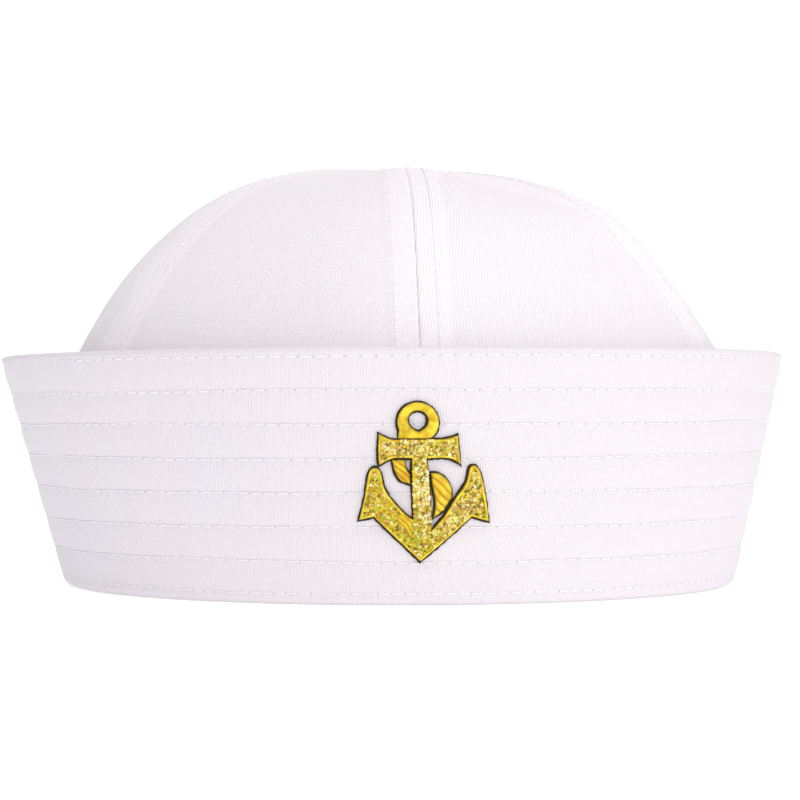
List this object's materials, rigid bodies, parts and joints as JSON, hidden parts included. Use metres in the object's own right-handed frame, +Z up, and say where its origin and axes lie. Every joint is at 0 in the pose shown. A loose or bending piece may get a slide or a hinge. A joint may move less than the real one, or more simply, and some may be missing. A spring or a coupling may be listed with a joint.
{
  "type": "sailor cap",
  "caption": "White cotton twill sailor cap with a round gored crown, a tall stitched brim turned up all round, and a fouled anchor patch on its front.",
  "frame": {"origin": "middle of the cap's box, on the surface that the rolled fold rests on", "axes": "+Z up, the cap's front with the anchor towards -Y, +X to the right seen from the front"},
  "size_m": [0.2135, 0.2333, 0.1126],
  "materials": {
    "brim_twill": "stitched white cotton twill in several layers",
    "crown_twill": "white cotton twill, one layer, seams topstitched",
    "dark_felt": "dark felt with a cut edge",
    "gold_satin": "satin-stitched gold thread",
    "gold_glitter": "glitter cloth in pale gold, pink and green flecks"
  },
  "bodies": {
    "root": {"brim": "brim_twill", "crown_gore_1": "crown_twill", "crown_gore_2": "crown_twill", "crown_gore_3": "crown_twill", "crown_gore_4": "crown_twill", "crown_gore_5": "crown_twill", "crown_gore_6": "crown_twill", "anchor_backing": "dark_felt", "anchor_frame": "gold_satin", "anchor_inlay": "gold_glitter", "anchor_ring": "gold_satin", "anchor_rope_upper": "gold_satin", "anchor_rope_right": "gold_satin", "anchor_rope_lower": "gold_satin"}
  },
  "joints": []
}
